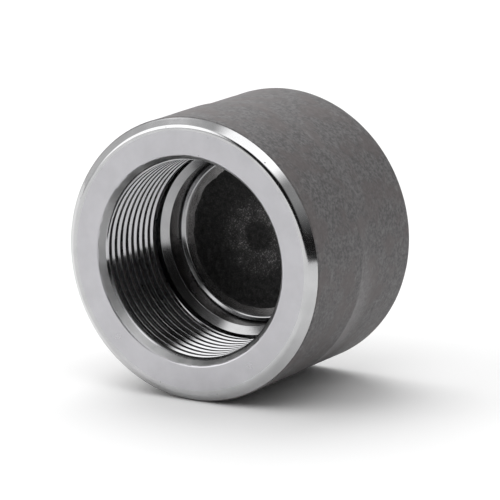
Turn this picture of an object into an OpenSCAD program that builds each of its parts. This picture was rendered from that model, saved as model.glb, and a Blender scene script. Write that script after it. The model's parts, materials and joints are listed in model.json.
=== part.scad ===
// Forged steel pipe cap with a tapered pipe thread, lying on its barrel.
// The axis runs along Y: the mouth faces -Y and the closed end faces +Y.
// The origin is under the middle of the barrel, on the surface that the cap lies on.
// Depths are measured from the mouth face towards the closed end.

/* [Barrel] */
// Outside diameter of the barrel
body_d = 64; // [58:0.5:84]
// Length from the mouth face to the closed end
body_len = 44; // [36:0.5:70]
// Leg of the 45 degree chamfer round the outer edge of the mouth
mouth_chamfer = 1.9; // [0.5:0.1:2.4]
// Depth of the forging's parting line, where the barrel starts to draw in
parting_depth = 21; // [8:0.5:30]
// How far the barrel draws in by the closed end, on the radius
draft_drop = 0.3; // [0.1:0.05:1.5]
// Radius of the outer corner at the closed end
end_corner_r = 1.6; // [0.5:0.1:5]

/* [Thread] */
// Diameter over the crests, which is the bore before it is tapped
crest_d = 44; // [36:0.1:47]
// Distance from one thread to the next (11.5 threads to the inch)
pitch = 2.209; // [1.8:0.001:2.9]
// Depth of the groove nearest the mouth, on the radius, in pitches
groove_pitches = 0.5; // [0.4:0.005:0.75]
// Width of the flat at the bottom of a groove
root_flat = 0.12; // [0.05:0.01:0.2]
// Loss of groove diameter for each unit of depth (1 in 16)
thread_taper = 0.0625; // [0.04:0.0005:0.0625]
// How far the countersink opens out at the mouth, on the radius
countersink_rim = 1.84; // [0.5:0.02:2]
// Depth of the countersink
countersink_depth = 2.9; // [1:0.1:4]
// Depth of the thread relief, where the tapped bore ends
thread_depth = 21.2; // [15:0.1:26]

/* [Cavity] */
// How far the thread relief is cut into the wall behind the crests
relief_cut = 0.7; // [0.2:0.05:1]
// Length of the thread relief
relief_len = 1.4; // [0.5:0.1:3]
// How far the drilled shoulder starts inside the crests, on the radius
shoulder_step = 0.75; // [0.2:0.05:1.2]
// Point angle of the drill that leaves the shoulder
drill_point_angle = 118; // [90:1:140]
// How far the throat lies inside the crests, on the radius
throat_step = 2.55; // [1.5:0.05:3.5]
// Length of the throat
throat_len = 4.75; // [1:0.05:6]
// Length of the corner between the throat and the seat
corner_len = 0.65; // [0.3:0.05:1.5]
// How far the corner draws in, on the radius
corner_draw = 0.8; // [0.3:0.05:1.5]
// Length of the machined seat that ends at the forged floor
seat_len = 0.25; // [0.1:0.05:1.5]
// How far the seat draws in, on the radius
seat_draw = 2.25; // [0.5:0.05:3]
// Step from the seat down to the forged floor
floor_step = 0.4; // [0.1:0.1:1]
// Fall of the forged floor from its edge to its flat middle
floor_dish = 0.5; // [0.1:0.1:1.5]
// Diameter of the flat middle of the forged floor
floor_flat_d = 18; // [6:0.5:18]

/* [Hidden] */
steel = [0.46, 0.455, 0.45];
thread_flank_angle = 30;
corner_steps = 8;
overlap = 0.01;
$fn = 96;

body_r = body_d / 2;
end_r = body_r - draft_drop;
crest_r = crest_d / 2;

// Radii inside, from the thread relief to the forged floor
relief_r = crest_r + relief_cut;
shoulder_r = crest_r - shoulder_step;
throat_r = crest_r - throat_step;
corner_r = throat_r - corner_draw;
seat_r = corner_r - seat_draw;
floor_flat_r = floor_flat_d / 2;

// Stations along the axis, from the mouth inwards
relief_depth = thread_depth + relief_len;
shoulder_depth = relief_depth + (shoulder_r - throat_r) / tan(drill_point_angle / 2);
throat_depth = shoulder_depth + throat_len;
corner_depth = throat_depth + corner_len;
seat_depth = corner_depth + seat_len;
floor_depth = seat_depth + floor_step;
cavity_depth = floor_depth + floor_dish;

// The first groove leaves a narrow land behind the countersink
first_groove = countersink_depth + 0.6 * pitch;
thread_turns = floor((thread_depth - countersink_depth) / pitch);

function groove_depth_at(depth) =
    groove_pitches * pitch - (depth - first_groove) * thread_taper / 2;

// Stands its children's Z axis along the cap's axis, at a depth below the mouth face
module along_axis(depth = 0) {
    translate([0, depth - body_len / 2, body_r])
        rotate([-90, 0, 0])
            children();
}

// Outer shape: chamfered mouth, straight barrel, drawn-in back half, rounded corner
module barrel() {
    corner_arc = [for (i = [0:corner_steps])
        let (a = 90 * i / corner_steps)
            [end_r + end_corner_r * (cos(a) - 1), body_len + end_corner_r * (sin(a) - 1)]];
    rotate_extrude()
        polygon(concat(
            [[0, 0],
             [body_r - mouth_chamfer, 0],
             [body_r, mouth_chamfer],
             [body_r, parting_depth]],
            corner_arc,
            [[0, body_len]]));
}

module countersink() {
    rim_r = crest_r + countersink_rim;
    translate([0, 0, -overlap])
        cylinder(h = overlap, r = rim_r);
    cylinder(h = countersink_depth, r1 = rim_r, r2 = crest_r);
}

// One groove of the thread, cut into the bore's wall
module groove(depth) {
    root_r = crest_r + groove_depth_at(depth);
    half_root = root_flat / 2;
    half_mouth = half_root + (root_r - crest_r) * tan(thread_flank_angle);
    rotate_extrude()
        polygon([
            [crest_r - overlap, depth - half_mouth],
            [crest_r, depth - half_mouth],
            [root_r, depth - half_root],
            [root_r, depth + half_root],
            [crest_r, depth + half_mouth],
            [crest_r - overlap, depth + half_mouth]]);
}

module threaded_bore() {
    cylinder(h = thread_depth + overlap, r = crest_r);
    for (turn = [0:thread_turns - 1])
        groove(first_groove + turn * pitch);
}

// Everything behind the thread: relief, drilled shoulder, throat, corner, seat and forged floor
module chamber() {
    rotate_extrude()
        polygon([
            [0, thread_depth],
            [relief_r, thread_depth],
            [relief_r, relief_depth],
            [shoulder_r, relief_depth],
            [throat_r, shoulder_depth],
            [throat_r, throat_depth],
            [corner_r, corner_depth],
            [seat_r, seat_depth],
            [seat_r, floor_depth],
            [floor_flat_r, cavity_depth],
            [0, cavity_depth]]);
}

module cap_body() {
    color(steel)
        along_axis()
            difference() {
                barrel();
                countersink();
                threaded_bore();
                chamber();
            }
}

cap_body();
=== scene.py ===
"""A forged steel pipe cap that lies on its barrel, with its threaded mouth turned to the camera.

One turned and threaded mesh stands for the CAD solid. A Geometry Nodes tree sweeps the cap's half
section round its axis and follows the real right-hand helix where the thread is cut.
Everything is in metres. Depths run from the mouth face towards the closed end.
"""

import json
import math

import bpy
from mathutils import Matrix, Vector


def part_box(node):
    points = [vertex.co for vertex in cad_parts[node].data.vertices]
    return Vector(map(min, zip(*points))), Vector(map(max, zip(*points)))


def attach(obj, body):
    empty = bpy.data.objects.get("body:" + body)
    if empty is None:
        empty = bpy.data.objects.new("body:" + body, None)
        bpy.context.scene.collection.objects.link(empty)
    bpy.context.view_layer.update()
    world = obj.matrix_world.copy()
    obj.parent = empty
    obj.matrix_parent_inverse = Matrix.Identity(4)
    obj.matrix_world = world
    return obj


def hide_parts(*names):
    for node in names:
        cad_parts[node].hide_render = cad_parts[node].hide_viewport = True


MM = 0.001

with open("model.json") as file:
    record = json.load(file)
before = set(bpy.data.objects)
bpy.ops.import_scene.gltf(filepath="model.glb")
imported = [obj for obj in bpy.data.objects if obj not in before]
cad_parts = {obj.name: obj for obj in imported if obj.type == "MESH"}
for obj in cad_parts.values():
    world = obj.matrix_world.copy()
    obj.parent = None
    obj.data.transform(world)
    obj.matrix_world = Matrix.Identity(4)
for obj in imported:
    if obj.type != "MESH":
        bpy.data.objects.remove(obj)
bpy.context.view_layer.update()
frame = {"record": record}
box_low, box_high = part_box("cap_body")
mounts = {mount["name"]: mount for mount in frame["record"]["mounts"]}
thread_mount = mounts["pipe_thread"]

# ---------------------------------------------------------------- sizes taken from the frame
BARREL_R = (box_high.x - box_low.x) / 2
LENGTH = box_high.y - box_low.y
AXIS_HEIGHT = box_low.z + BARREL_R
MOUTH_Y = box_low.y
BORE_R = thread_mount["dims"]["r_mm"] * MM
COUNTERSINK_DEPTH = thread_mount["pos_m"][1] - MOUTH_Y
THREAD_DEPTH = COUNTERSINK_DEPTH + thread_mount["dims"]["length_mm"] * MM

# ---------------------------------------------------------------- sizes of the finished surface
SEGMENTS = 256

# Barrel: the 45 degree chamfer, and the forging's parting line with the fall behind it
MOUTH_CHAMFER = 1.9 * MM
PARTING_DEPTH = 21 * MM
DRAFT_DROP = 0.3 * MM
DRAFT_FADE = 2.2 * MM
END_CORNER_R = 1.6 * MM
EDGE_ROUND = 0.55 * MM
FORGED_WAVE = 0.09 * MM

# Thread: 11.5 turns to the inch, 60 degrees between the flanks, 1 in 16 on the diameter
PITCH = 25.4 / 11.5 * MM
TAPER = 1 / 32
CREST_GROWTH = 0.26 * MM
GROOVE_DEPTH = 1.0 * MM
CREST_ROUND = 0.03 * MM
ROOT_FLAT = 0.12 * MM
FLANK_ANGLE = math.radians(30)
THREAD_START_TURN = 0.27
LEAD_IN = 0.9 * MM
RUN_OUT = 0.5 * MM

# Countersink: a small 45 degree edge break, then a cone that the thread cuts into behind the rim
MOUTH_R = BORE_R + 1.84 * MM
EDGE_BREAK = 0.3 * MM
RIM_DEPTH = 1.6 * MM
COUNTERSINK_SLOPE = 0.66
RIM_R = MOUTH_R - EDGE_BREAK - (RIM_DEPTH - EDGE_BREAK) * COUNTERSINK_SLOPE

# Cavity behind the thread, as radii and then as stations along the axis
RELIEF_R = BORE_R + 0.7 * MM
SHOULDER_R = BORE_R - 0.75 * MM
THROAT_R = BORE_R - 2.55 * MM
CORNER_R = THROAT_R - 0.8 * MM
SEAT_R = CORNER_R - 2.25 * MM
RELIEF_DEPTH = THREAD_DEPTH + 1.4 * MM
DRILL_POINT_HALF = math.radians(59)
SHOULDER_DEPTH = RELIEF_DEPTH + (SHOULDER_R - THROAT_R) / math.tan(DRILL_POINT_HALF)
THROAT_DEPTH = SHOULDER_DEPTH + 4.75 * MM
CORNER_DEPTH = THROAT_DEPTH + 0.65 * MM
SEAT_DEPTH = CORNER_DEPTH + 0.25 * MM
FLOOR_DEPTH = SEAT_DEPTH + 0.4 * MM
CAVITY_DEPTH = FLOOR_DEPTH + 0.5 * MM
FLOOR_FLAT_R = 9 * MM
FLOOR_GRAIN = 0.28 * MM
SEAT_RAGGEDNESS = 0.3 * MM

# How far the table reaches in front of the cap, and the way that it faces
TABLE_FRONT = 0.41
TABLE_TURN = math.radians(30)
TABLE_WIDE = 9.0

# Zones along the half section, in order, each with its own finish
FORGED, CHAMFER, FACE, COUNTERSINK, CREST, THREAD, CHAMBER, THROAT, FLOOR = range(9)


# ---------------------------------------------------------------- node helpers
class Tree:
    """Short calls for a node tree. A value is a number, a vector, a material or another node's output."""

    def __init__(self, tree):
        self.tree = tree

    def add(self, kind, values=None, **settings):
        node = self.tree.nodes.new(kind)
        for name, setting in settings.items():
            setattr(node, name, setting)
        for socket, value in (values or {}).items():
            self.feed(node.inputs[socket], value)
        return node

    def feed(self, socket, value):
        if isinstance(value, bpy.types.NodeSocket):
            self.tree.links.new(value, socket)
        else:
            socket.default_value = value

    def math(self, operation, *values, clamp=False):
        node = self.add("ShaderNodeMath", dict(enumerate(values)), operation=operation)
        node.use_clamp = clamp
        return node.outputs[0]

    def vector(self, operation, *values):
        node = self.add("ShaderNodeVectorMath", dict(enumerate(values)), operation=operation)
        return node.outputs["Value" if operation in ("LENGTH", "DOT_PRODUCT") else "Vector"]

    def split(self, vector):
        return self.add("ShaderNodeSeparateXYZ", {"Vector": vector}).outputs

    def join(self, x, y, z):
        return self.add("ShaderNodeCombineXYZ", {"X": x, "Y": y, "Z": z}).outputs[0]

    def ramp(self, value, low, high, to_low=0.0, to_high=1.0, kind="SMOOTHSTEP"):
        return self.add("ShaderNodeMapRange", {
            "Value": value,
            "From Min": low,
            "From Max": high,
            "To Min": to_low,
            "To Max": to_high,
        }, interpolation_type=kind).outputs["Result"]

    def noise(self, vector, scale, detail=3.0, roughness=0.5):
        return self.add("ShaderNodeTexNoise", {
            "Vector": vector,
            "Scale": scale,
            "Detail": detail,
            "Roughness": roughness,
        }).outputs["Fac"]

    def mix(self, share, first, second):
        node = self.add("ShaderNodeMix", data_type="RGBA")
        self.feed(node.inputs["Factor"], share)
        self.feed(node.inputs[6], first)
        self.feed(node.inputs[7], second)
        return node.outputs[2]


# ---------------------------------------------------------------- half section
class HalfSection:
    """Rows of the half section from the closed end's centre, over the barrel, to the cavity's centre."""

    def __init__(self):
        self.rows = []

    def row(self, radius, depth, zone, **marks):
        self.rows.append(dict(radius=radius, depth=depth, zone=zone, **marks))

    def line(self, start, end, steps, zone, **marks):
        """Evenly spaced rows from start to end. The last one is left to whatever follows."""
        for i in range(steps):
            share = i / steps
            radius = start[0] + (end[0] - start[0]) * share
            depth = start[1] + (end[1] - start[1]) * share
            self.row(radius, depth, zone, **marks)

    def corner(self, before, point, after, size, zone, steps=4, **marks):
        """A rounded corner at point, with a support row on each side that keeps the faces flat."""
        middle = Vector(point)
        first = (Vector(before) - middle).normalized()
        last = (Vector(after) - middle).normalized()
        self.row(*(middle + first * size * 1.5), zone, **marks)
        for i in range(steps + 1):
            share = i / steps
            weight_first = (1 - share) ** 2
            weight_last = share ** 2
            spot = middle + first * size * weight_first + last * size * weight_last
            self.row(*spot, zone, **marks)
        self.row(*(middle + last * size * 1.5), zone, **marks)

    def as_mesh(self):
        mesh = bpy.data.meshes.new("half_section")
        points = [(row["radius"], row["depth"], 0) for row in self.rows]
        mesh.from_pydata(points, [(i, i + 1) for i in range(len(points) - 1)], [])
        for name in ("zone", "phase", "groove", "helical", "wavy", "rough", "ragged"):
            layer = mesh.attributes.new(name, "FLOAT", "POINT")
            layer.data.foreach_set("value", [float(row.get(name, 0)) for row in self.rows])
        return mesh


def drawn_in_radius(depth):
    """Radius of the barrel behind the parting line: it falls away quickly, then runs nearly straight."""
    behind = depth - PARTING_DEPTH
    return BARREL_R - DRAFT_DROP * (1 - math.exp(-behind / DRAFT_FADE))


def outer_rows(section):
    """Closed end, outer corner, barrel, chamfer and mouth face."""
    end_r = drawn_in_radius(LENGTH)
    wave = FORGED_WAVE
    section.line((0, LENGTH), (end_r - 2.5 * END_CORNER_R, LENGTH), 18, FORGED, wavy=wave)
    section.corner((0, LENGTH), (end_r, LENGTH), (end_r, 0), END_CORNER_R, FORGED, 8, wavy=wave * 0.6)
    barrel_end = LENGTH - 2 * END_CORNER_R
    rows_behind = 24
    for i in range(rows_behind):
        share = (i / rows_behind) ** 0.75
        depth = barrel_end + (PARTING_DEPTH - barrel_end) * share
        section.row(drawn_in_radius(depth), depth, FORGED, wavy=wave)
    section.row(BARREL_R, PARTING_DEPTH, FORGED, wavy=wave * 0.7)
    section.row(BARREL_R, PARTING_DEPTH - 0.15 * MM, FORGED, wavy=wave * 0.7)
    straight_end = (BARREL_R, PARTING_DEPTH - 1 * MM)
    straight_start = (BARREL_R, MOUTH_CHAMFER + 1 * MM)
    section.line(straight_end, straight_start, 18, FORGED, wavy=wave)
    chamfer_out = (BARREL_R, MOUTH_CHAMFER)
    chamfer_in = (BARREL_R - MOUTH_CHAMFER, 0)
    section.corner((BARREL_R, LENGTH), chamfer_out, chamfer_in, 0.1 * MM, FORGED, 3, wavy=wave * 0.3)
    flat_start = (BARREL_R - 0.25 * MM, MOUTH_CHAMFER - 0.25 * MM)
    flat_end = (BARREL_R - MOUTH_CHAMFER + 0.5 * MM, 0.5 * MM)
    section.line(flat_start, flat_end, 3, CHAMFER)
    section.corner(chamfer_out, chamfer_in, (0, 0), EDGE_ROUND, CHAMFER, 7)
    section.line((chamfer_in[0] - 0.9 * MM, 0), (MOUTH_R + 0.4 * MM, 0), 8, FACE)


def mouth_rows(section):
    """Edge break round the mouth, and the part of the countersink that the thread doesn't reach."""
    mouth = (MOUTH_R, 0)
    foot = (MOUTH_R - EDGE_BREAK, EDGE_BREAK)
    rim = (RIM_R, RIM_DEPTH)
    section.corner((BARREL_R, 0), mouth, foot, 0.2 * MM, FACE, 5)
    section.corner(mouth, foot, rim, 0.1 * MM, COUNTERSINK, 4, ragged=0.03 * MM)
    section.row(*rim, COUNTERSINK)


def thread_rows(section):
    """Rows that follow the helix. Each has a phase in turns and its share of the groove's depth."""
    root = ROOT_FLAT / 2 / PITCH
    flank_end = root + GROOVE_DEPTH * math.tan(FLANK_ANGLE) / PITCH
    soft = CREST_ROUND / PITCH
    groove_rows = [0, root * 0.7, root + 0.015, root + 0.03, flank_end * 0.6]
    crest_rows = [flank_end + soft * step for step in (-2, -1, 0, 1, 2)]
    half_turn = groove_rows + crest_rows
    fractions = half_turn + [0.5] + [1 - fraction for fraction in reversed(half_turn[1:])]
    first_turn = -2
    last_turn = math.ceil((THREAD_DEPTH - RIM_DEPTH) / PITCH) + 1
    for turn in range(first_turn, last_turn):
        for fraction in fractions:
            from_root = min(fraction, 1 - fraction)
            groove = min(1, max(0, 1 - (from_root - root) / (flank_end - root)))
            zone = THREAD if groove > 0 else CREST
            section.row(0, 0, zone, phase=turn + fraction, groove=groove, helical=1)


def chamber_rows(section):
    """Thread relief, drilled shoulder, throat, corner, seat and the rough forged floor."""
    wall = (BORE_R + CREST_GROWTH - TAPER * THREAD_DEPTH, THREAD_DEPTH)
    relief_front = (RELIEF_R, THREAD_DEPTH + 0.1 * MM)
    relief_back = (RELIEF_R, RELIEF_DEPTH)
    shoulder = (SHOULDER_R, RELIEF_DEPTH)
    throat_front = (THROAT_R, SHOULDER_DEPTH)
    throat_back = (THROAT_R, THROAT_DEPTH)
    corner = (CORNER_R, CORNER_DEPTH)
    seat = (SEAT_R, SEAT_DEPTH)
    flat = (FLOOR_FLAT_R, CAVITY_DEPTH)
    section.row(wall[0] + 0.08 * MM, THREAD_DEPTH + 0.02 * MM, CHAMBER)
    section.corner(wall, relief_front, relief_back, 0.1 * MM, CHAMBER, 2)
    section.corner(relief_front, relief_back, shoulder, 0.12 * MM, CHAMBER, 3)
    section.corner(relief_back, shoulder, throat_front, 0.05 * MM, CHAMBER, 3)
    section.corner(shoulder, throat_front, throat_back, 0.06 * MM, CHAMBER, 3)
    throat_end = (THROAT_R, THROAT_DEPTH - 0.36 * MM)
    section.line((THROAT_R, SHOULDER_DEPTH + 0.3 * MM), throat_end, 4, THROAT)
    section.row(*throat_end, THROAT)
    section.corner(throat_front, throat_back, corner, 0.22 * MM, CHAMBER, 4)
    section.corner(throat_back, corner, seat, 0.22 * MM, CHAMBER, 4)
    seat_edge = (SEAT_R + 0.12 * MM, SEAT_DEPTH - 0.01 * MM)
    section.line((CORNER_R - 0.5 * MM, CORNER_DEPTH + 0.05 * MM), seat_edge, 3, THROAT)
    section.row(*seat_edge, FLOOR, ragged=SEAT_RAGGEDNESS)
    section.row(SEAT_R, SEAT_DEPTH, FLOOR, ragged=SEAT_RAGGEDNESS)
    section.row(SEAT_R - 0.1 * MM, SEAT_DEPTH + 0.25 * MM, FLOOR, ragged=SEAT_RAGGEDNESS, rough=0.08 * MM)
    edge = (SEAT_R - 0.5 * MM, FLOOR_DEPTH)
    section.line(edge, flat, 18, FLOOR, ragged=0.1 * MM, rough=0.3 * MM)
    section.line(flat, (0, CAVITY_DEPTH), 22, FLOOR, rough=FLOOR_GRAIN)
    section.row(0, CAVITY_DEPTH, FLOOR, rough=FLOOR_GRAIN)


# ---------------------------------------------------------------- turning and threading tree
def turning_tree(finishes):
    """Sweeps a half section round the Y axis. Helical rows climb one pitch a turn between two stops."""
    group = bpy.data.node_groups.new("Turned and threaded body", "GeometryNodeTree")
    sizes = [
        ("Segments", "NodeSocketInt", SEGMENTS),
        ("Axis height", "NodeSocketFloat", AXIS_HEIGHT),
        ("Mouth place", "NodeSocketFloat", MOUTH_Y),
        ("Pitch", "NodeSocketFloat", PITCH),
        ("Taper", "NodeSocketFloat", TAPER),
        ("Crest radius", "NodeSocketFloat", BORE_R + CREST_GROWTH),
        ("Groove depth", "NodeSocketFloat", GROOVE_DEPTH),
        ("Start turn", "NodeSocketFloat", THREAD_START_TURN),
        ("Thread start", "NodeSocketFloat", RIM_DEPTH),
        ("Thread end", "NodeSocketFloat", THREAD_DEPTH),
        ("Lead-in", "NodeSocketFloat", LEAD_IN),
        ("Run-out", "NodeSocketFloat", RUN_OUT),
        ("Countersink radius", "NodeSocketFloat", RIM_R),
        ("Countersink slope", "NodeSocketFloat", COUNTERSINK_SLOPE),
        ("Wave scale", "NodeSocketFloat", 70.0),
        ("Grain scale", "NodeSocketFloat", 700.0),
        ("Seed", "NodeSocketFloat", 4.0),
    ]
    group.interface.new_socket("Geometry", in_out="OUTPUT", socket_type="NodeSocketGeometry")
    group.interface.new_socket("Geometry", in_out="INPUT", socket_type="NodeSocketGeometry")
    sockets = {}
    for name, kind, _ in sizes:
        sockets[name] = group.interface.new_socket(name, in_out="INPUT", socket_type=kind)
    t = Tree(group)
    given = t.add("NodeGroupInput").outputs
    profile = given["Geometry"]

    # One column of rows for each segment, and one more that meets the first
    rows = t.add("GeometryNodeAttributeDomainSize", {"Geometry": profile}).outputs["Point Count"]
    columns = t.math("ADD", given["Segments"], 1)
    grid = t.add("GeometryNodeMeshGrid", {"Vertices X": columns, "Vertices Y": rows}).outputs["Mesh"]
    index = t.add("GeometryNodeInputIndex").outputs[0]
    column = t.math("FLOOR", t.math("DIVIDE", t.math("ADD", index, 0.5), rows))
    row = t.math("SUBTRACT", index, t.math("MULTIPLY", column, rows))
    turn = t.math("DIVIDE", column, given["Segments"])
    angle = t.math("MULTIPLY", turn, math.tau)

    def row_value(name):
        value = t.add("GeometryNodeInputNamedAttribute", {"Name": name}, data_type="FLOAT").outputs[0]
        sample = t.add("GeometryNodeSampleIndex", {"Geometry": profile, "Value": value, "Index": row},
                       data_type="FLOAT")
        return sample.outputs[0]

    place = t.add("GeometryNodeInputPosition").outputs[0]
    sample = t.add("GeometryNodeSampleIndex", data_type="FLOAT_VECTOR")
    t.feed(sample.inputs["Geometry"], profile)
    t.feed(sample.inputs["Value"], place)
    t.feed(sample.inputs["Index"], row)
    plain_radius, plain_depth, _ = t.split(sample.outputs[0])

    # The helix, held between the countersink's rim and the thread relief
    turns = t.math("ADD", t.math("ADD", row_value("phase"), turn), given["Start turn"])
    climb = t.math("MULTIPLY_ADD", turns, given["Pitch"], given["Thread start"])
    helix_depth = t.math("MINIMUM", t.math("MAXIMUM", climb, given["Thread start"]), given["Thread end"])
    crest = t.math("SUBTRACT", given["Crest radius"], t.math("MULTIPLY", given["Taper"], helix_depth))
    lead_in = t.ramp(helix_depth, given["Thread start"],
                     t.math("ADD", given["Thread start"], given["Lead-in"]))
    run_out = t.ramp(helix_depth, t.math("SUBTRACT", given["Thread end"], given["Run-out"]),
                     given["Thread end"], 1.0, 0.0)
    groove = t.math("MULTIPLY", row_value("groove"), given["Groove depth"])
    groove = t.math("MULTIPLY", groove, t.math("MULTIPLY", lead_in, run_out))
    past_rim = t.math("SUBTRACT", helix_depth, given["Thread start"])
    cone = t.math("SUBTRACT", given["Countersink radius"],
                  t.math("MULTIPLY", past_rim, given["Countersink slope"]))
    helix_radius = t.math("MAXIMUM", t.math("ADD", crest, groove), cone)

    helical = row_value("helical")
    plain = t.math("SUBTRACT", 1, helical)

    def pick(on_helix, on_plain):
        return t.math("ADD", t.math("MULTIPLY", helical, on_helix), t.math("MULTIPLY", plain, on_plain))

    radius = pick(helix_radius, plain_radius)
    depth = pick(helix_depth, plain_depth)

    # Forging's unevenness: an uneven edge, broad waves that only cut in, and the floor's grain
    round_place = t.join(t.math("MULTIPLY", radius, t.math("SINE", angle)), depth,
                         t.math("MULTIPLY", radius, t.math("COSINE", angle)))
    seeded = t.vector("ADD", round_place, t.join(given["Seed"], 0, 0))

    def uneven(name, scale, low, high):
        noise = t.noise(seeded, scale, 3.0, 0.55)
        return t.math("MULTIPLY", row_value(name), t.ramp(noise, 0.25, 0.75, low, high, "LINEAR"))

    ragged = uneven("ragged", 420.0, -1.0, 1.0)
    wavy = uneven("wavy", given["Wave scale"], -1.0, 0.0)
    rough = uneven("rough", given["Grain scale"], -1.0, 0.3)
    radius = t.math("ADD", t.math("ADD", radius, ragged), wavy)
    radius = t.math("MAXIMUM", radius, 0.0)
    depth = t.math("ADD", depth, rough)
    x = t.math("MULTIPLY", radius, t.math("SINE", angle))
    z = t.math("MULTIPLY_ADD", radius, t.math("COSINE", angle), given["Axis height"])
    spot = t.join(x, t.math("ADD", depth, given["Mouth place"]), z)

    zone = row_value("zone")
    marked = t.add("GeometryNodeStoreNamedAttribute", {"Geometry": grid, "Name": "zone", "Value": zone},
                   data_type="FLOAT", domain="POINT").outputs[0]
    placed = t.add("GeometryNodeSetPosition", {"Geometry": marked, "Position": spot}).outputs[0]
    welded = t.add("GeometryNodeMergeByDistance", {"Geometry": placed, "Distance": 1e-6}).outputs[0]
    shape = t.add("GeometryNodeRealizeInstances", {"Geometry": welded}).outputs[0]

    # A face between two zones belongs to the first of them
    stored = t.add("GeometryNodeInputNamedAttribute", {"Name": "zone"}, data_type="FLOAT").outputs[0]
    on_faces = t.add("GeometryNodeFieldOnDomain", {"Value": stored},
                     data_type="FLOAT", domain="FACE").outputs[0]
    face_zone = t.math("FLOOR", t.math("ADD", on_faces, 0.01))
    for number, finish in enumerate(finishes):
        chosen = t.math("COMPARE", face_zone, number, 0.1)
        shape = t.add("GeometryNodeSetMaterial",
                      {"Geometry": shape, "Selection": chosen, "Material": finish}).outputs[0]
    t.feed(t.add("NodeGroupOutput").inputs[0], shape)
    return group, [(sockets[name].identifier, value) for name, _, value in sizes]


def turned_body(name, finishes):
    """The whole cap as one closed mesh."""
    section = HalfSection()
    outer_rows(section)
    mouth_rows(section)
    thread_rows(section)
    chamber_rows(section)
    source = bpy.data.objects.new("half_section", section.as_mesh())
    bpy.context.scene.collection.objects.link(source)
    group, inputs = turning_tree(finishes)
    modifier = source.modifiers.new("turning", "NODES")
    modifier.node_group = group
    for identifier, value in inputs:
        modifier[identifier] = value
    depsgraph = bpy.context.evaluated_depsgraph_get()
    mesh = bpy.data.meshes.new_from_object(source.evaluated_get(depsgraph))
    source.modifiers.remove(modifier)
    bpy.data.objects.remove(source)
    for layer in [a for a in mesh.attributes if a.name == "zone"]:
        mesh.attributes.remove(layer)
    mesh.shade_smooth()
    mesh.name = name
    body = bpy.data.objects.new(name, mesh)
    bpy.context.scene.collection.objects.link(body)
    return body


# ---------------------------------------------------------------- finishes
def new_finish(name, metallic, roughness):
    """An empty finish: its tree, its surface shader and the place measured from the cap's axis."""
    material = bpy.data.materials.new(name)
    material.use_nodes = True
    material.node_tree.nodes.clear()
    t = Tree(material.node_tree)
    shader = t.add("ShaderNodeBsdfPrincipled", {"Metallic": metallic, "Roughness": roughness})
    t.add("ShaderNodeOutputMaterial", {"Surface": shader.outputs["BSDF"]})
    coordinates = t.add("ShaderNodeTexCoord").outputs["Object"]
    place = t.add("ShaderNodeMapping", {
        "Vector": coordinates,
        "Location": (0, -MOUTH_Y, -AXIS_HEIGHT),
    }).outputs["Vector"]
    return material, t, shader, place


def polar(t, place):
    """Radius from the axis and depth from the mouth."""
    x, y, z = t.split(place)
    radius = t.vector("LENGTH", t.join(x, 0, z))
    return radius, y


def forged_skin():
    """Shot-blasted forging: grey with a fine grain, warm mottling and faint rubs. Painted light: a
    lighter band low down behind the parting line stands in for bounce light from the pale table."""
    material, t, shader, place = new_finish("forged_skin", 0.32, 0.6)
    patches = t.noise(place, 160.0, 3.0, 0.6)
    grain = t.noise(place, 1500.0, 3.0, 0.6)
    flecks = t.noise(place, 620.0, 3.0, 0.6)
    blend = t.math("ADD", t.math("MULTIPLY", grain, 0.7), t.math("MULTIPLY", flecks, 0.3))
    grey = t.mix(t.ramp(blend, 0.36, 0.66), (0.1, 0.096, 0.097, 1), (0.208, 0.203, 0.205, 1))
    warm = t.mix(t.ramp(patches, 0.46, 0.64, 0.0, 0.6), grey, (0.15, 0.132, 0.13, 1))
    rubbed = t.mix(t.ramp(flecks, 0.62, 0.78, 0.0, 0.5), warm, (0.27, 0.267, 0.27, 1))
    _, depth, height = t.split(place)
    # Painted light: a lighter band just behind the parting line, fading backwards and strongest low down,
    # stands in for the table's bounce light on the drawn-in barrel
    painted_light_start = t.ramp(depth, PARTING_DEPTH, PARTING_DEPTH + 0.8 * MM)
    painted_light_fade = t.ramp(depth, PARTING_DEPTH + 2 * MM, PARTING_DEPTH + 9 * MM, 0.26, 0.0)
    painted_light_low_down = t.ramp(height, -12 * MM, 6 * MM, 1.0, 0.08)
    painted_light_band = t.math("MULTIPLY", t.math("MULTIPLY", painted_light_start, painted_light_fade), painted_light_low_down)
    t.feed(shader.inputs["Base Color"], t.mix(painted_light_band, rubbed, (0.42, 0.41, 0.41, 1)))
    t.feed(shader.inputs["Roughness"], t.ramp(grain, 0.3, 0.7, 0.5, 0.7))
    shader.inputs["Specular IOR Level"].default_value = 0.2
    bump = t.add("ShaderNodeBump", {"Strength": 0.4, "Distance": 0.14 * MM, "Height": blend})
    t.feed(shader.inputs["Normal"], bump.outputs[0])
    return material


def turned_finish(name, colour, roughness, ring_scale, ring_height, mottle=0.06):
    """Machined steel: fine tool rings round the axis, a faint mottle and a few small nicks."""
    material, t, shader, place = new_finish(name, 1.0, roughness)
    radius, depth = polar(t, place)
    rings = t.noise(t.join(radius, depth, 0), ring_scale, 2.0, 0.6)
    cloud = t.noise(place, 120.0, 4.0, 0.6)
    specks = t.noise(place, 900.0, 1.0, 0.5)
    light = tuple(min(1.0, c * (1 + mottle)) for c in colour) + (1,)
    dark = tuple(c * (1 - mottle) for c in colour) + (1,)
    tint = t.mix(t.ramp(cloud, 0.35, 0.65), dark, light)
    nicked = t.mix(t.ramp(specks, 0.76, 0.82, 0.0, 0.6), tint, (0.12, 0.12, 0.12, 1))
    t.feed(shader.inputs["Base Color"], nicked)
    t.feed(shader.inputs["Roughness"], t.ramp(cloud, 0.3, 0.7, roughness * 0.85, roughness * 1.2))
    height = t.math("ADD", rings, t.math("MULTIPLY", t.ramp(specks, 0.72, 0.8), -1.5))
    bump = t.add("ShaderNodeBump", {"Strength": 0.4, "Distance": ring_height, "Height": height})
    t.feed(shader.inputs["Normal"], bump.outputs[0])
    return material


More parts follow.
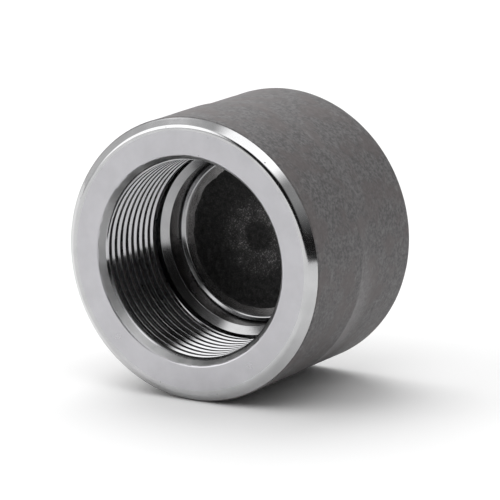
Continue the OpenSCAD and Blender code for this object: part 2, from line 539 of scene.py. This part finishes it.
def forged_floor():
    """Black scale on the unmachined end of the cavity, with bright specks that ring its centre."""
    material, t, shader, place = new_finish("forged_floor", 0.4, 0.6)
    radius, _ = polar(t, place)
    grain = t.noise(place, 900.0, 4.0, 0.7)
    specks = t.noise(place, 3000.0, 2.0, 0.7)
    clumps = t.noise(place, 420.0, 3.0, 0.6)
    inner = t.ramp(radius, 2.6 * MM, 4.6 * MM)
    ring = t.math("MULTIPLY", inner, t.ramp(radius, 5.4 * MM, 10.5 * MM, 1.0, 0.0))
    uneven_ring = t.math("MULTIPLY", ring, t.ramp(clumps, 0.35, 0.65, 0.35, 1.0))
    base = t.mix(t.ramp(grain, 0.35, 0.7), (0.01, 0.01, 0.01, 1), (0.034, 0.033, 0.033, 1))
    lit = t.mix(t.math("MULTIPLY", uneven_ring, 0.6), base, (0.12, 0.117, 0.117, 1))
    bright = t.math("MULTIPLY", t.ramp(specks, 0.54, 0.7), t.math("MULTIPLY_ADD", uneven_ring, 0.9, 0.06))
    t.feed(shader.inputs["Base Color"], t.mix(bright, lit, (0.42, 0.4, 0.4, 1)))
    t.feed(shader.inputs["Roughness"], t.ramp(specks, 0.4, 0.7, 0.7, 0.45))
    height = t.math("ADD", grain, t.math("MULTIPLY", specks, 0.3))
    bump = t.add("ShaderNodeBump", {"Strength": 0.5, "Distance": 0.15 * MM, "Height": height})
    t.feed(shader.inputs["Normal"], bump.outputs[0])
    return material


# ---------------------------------------------------------------- studio
def studio_floor():
    """A wide pale table at the height that the cap lies on. It ends in front, where the room is dark."""
    mesh = bpy.data.meshes.new("floor")
    front = Vector((math.sin(TABLE_TURN), -math.cos(TABLE_TURN), 0))
    side = Vector((math.cos(TABLE_TURN), math.sin(TABLE_TURN), 0)) * TABLE_WIDE
    near = front * TABLE_FRONT
    far = front * -TABLE_WIDE
    mesh.from_pydata([near - side, near + side, far + side, far - side], [], [(0, 1, 2, 3)])
    floor = bpy.data.objects.new("floor", mesh)
    bpy.context.scene.collection.objects.link(floor)
    material = bpy.data.materials.new("pale_floor")
    material.use_nodes = True
    shader = material.node_tree.nodes["Principled BSDF"]
    shader.inputs["Base Color"].default_value = (0.88, 0.88, 0.88, 1)
    shader.inputs["Roughness"].default_value = 0.9
    shader.inputs["Specular IOR Level"].default_value = 0.1
    mesh.materials.append(material)


def studio_light():
    """White walls and three softboxes, with a dark room in front that gives the steel its dark side."""
    world = bpy.data.worlds.new("studio")
    bpy.context.scene.world = world
    world.use_nodes = True
    world.node_tree.nodes.clear()
    t = Tree(world.node_tree)
    way = t.add("ShaderNodeTexCoord").outputs["Generated"]
    x, y, up = t.split(way)
    level = t.vector("NORMALIZE", t.join(x, y, 0))

    def towards(turn):
        turn = math.radians(turn)
        return t.vector("DOT_PRODUCT", level, (math.sin(turn), -math.cos(turn), 0))

    def softbox(direction, edge, middle, strength):
        nearness = t.vector("DOT_PRODUCT", way, Vector(direction).normalized())
        return t.ramp(nearness, edge, middle, 0.0, strength)

    walls = t.ramp(up, 0.8, 0.97, 0.75, 0.5)
    across = t.ramp(towards(47), 0.276, 0.454)
    below_top = t.ramp(up, 0.64, 0.84, 1.0, 0.0)
    darkness = t.math("MULTIPLY", t.math("MULTIPLY", across, below_top), 0.985)
    right_glow = t.math("MULTIPLY", t.ramp(towards(62), 0.85, 0.99), t.ramp(up, 0.12, 0.6, 0.0, 0.42))
    chamfer_lamp = softbox((0.144, -0.438, 0.887), 0.885, 0.985, 1.5)
    left_lamp = softbox((-0.652, -0.608, 0.454), 0.875, 0.935, 1.4)
    thread_lamp = softbox((-0.45, 0.35, 0.82), 0.86, 0.95, 2.7)
    light = t.math("MULTIPLY", walls, t.math("SUBTRACT", 1.0, darkness))
    for lamp in (right_glow, chamfer_lamp, left_lamp, thread_lamp):
        light = t.math("ADD", light, lamp)
    background = t.add("ShaderNodeBackground", {"Color": (1, 1, 1, 1), "Strength": light})
    t.add("ShaderNodeOutputWorld", {"Surface": background.outputs[0]})


def camera():
    """A long lens, a little above the cap and to the right of its axis."""
    turn = math.radians(30.566)
    rise = math.radians(12.699)
    distance = 1.0271
    aim = Vector((0.0113, MOUTH_Y + 0.0073, AXIS_HEIGHT + 0.0024))
    ahead = Vector((-math.sin(turn) * math.cos(rise), math.cos(turn) * math.cos(rise), -math.sin(rise)))
    right = Vector((math.cos(turn), math.sin(turn), 0))
    up = right.cross(ahead)
    data = bpy.data.cameras.new("camera")
    data.lens = 336.3
    data.sensor_width = 36
    data.clip_start = 0.05
    data.clip_end = 50
    view = bpy.data.objects.new("camera", data)
    axes = Matrix((right, up, -ahead)).transposed().to_4x4()
    view.matrix_world = Matrix.Translation(aim - ahead * distance) @ axes
    bpy.context.scene.collection.objects.link(view)
    bpy.context.scene.camera = view


# ---------------------------------------------------------------- the cap
FINISHES = [
    forged_skin(),
    turned_finish("turned_chamfer", (0.5, 0.5, 0.505), 0.12, 4000.0, 0.003 * MM),
    turned_finish("turned_face", (0.495, 0.49, 0.51), 0.32, 4000.0, 0.012 * MM, 0.05),
    turned_finish("countersunk_edge", (0.45, 0.45, 0.455), 0.42, 5000.0, 0.02 * MM, 0.16),
    turned_finish("thread_crest", (0.42, 0.42, 0.425), 0.28, 7000.0, 0.002 * MM),
    turned_finish("cut_thread", (0.45, 0.45, 0.46), 0.1, 7000.0, 0.002 * MM),
    turned_finish("bored_chamber", (0.355, 0.355, 0.36), 0.15, 5000.0, 0.003 * MM, 0.1),
    # Painted shade: the throat and seat get a darker copy of the bored finish, standing in for the shade
    # deep in the cavity
    turned_finish("bored_throat_painted_shade", (0.22, 0.214, 0.213), 0.24, 5000.0, 0.004 * MM, 0.1),
    forged_floor(),
]

camera()
studio_floor()
studio_light()
bpy.context.scene.view_settings.view_transform = "Standard"

cap = turned_body("pipe_cap", FINISHES)
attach(cap, "root")
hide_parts("cap_body")
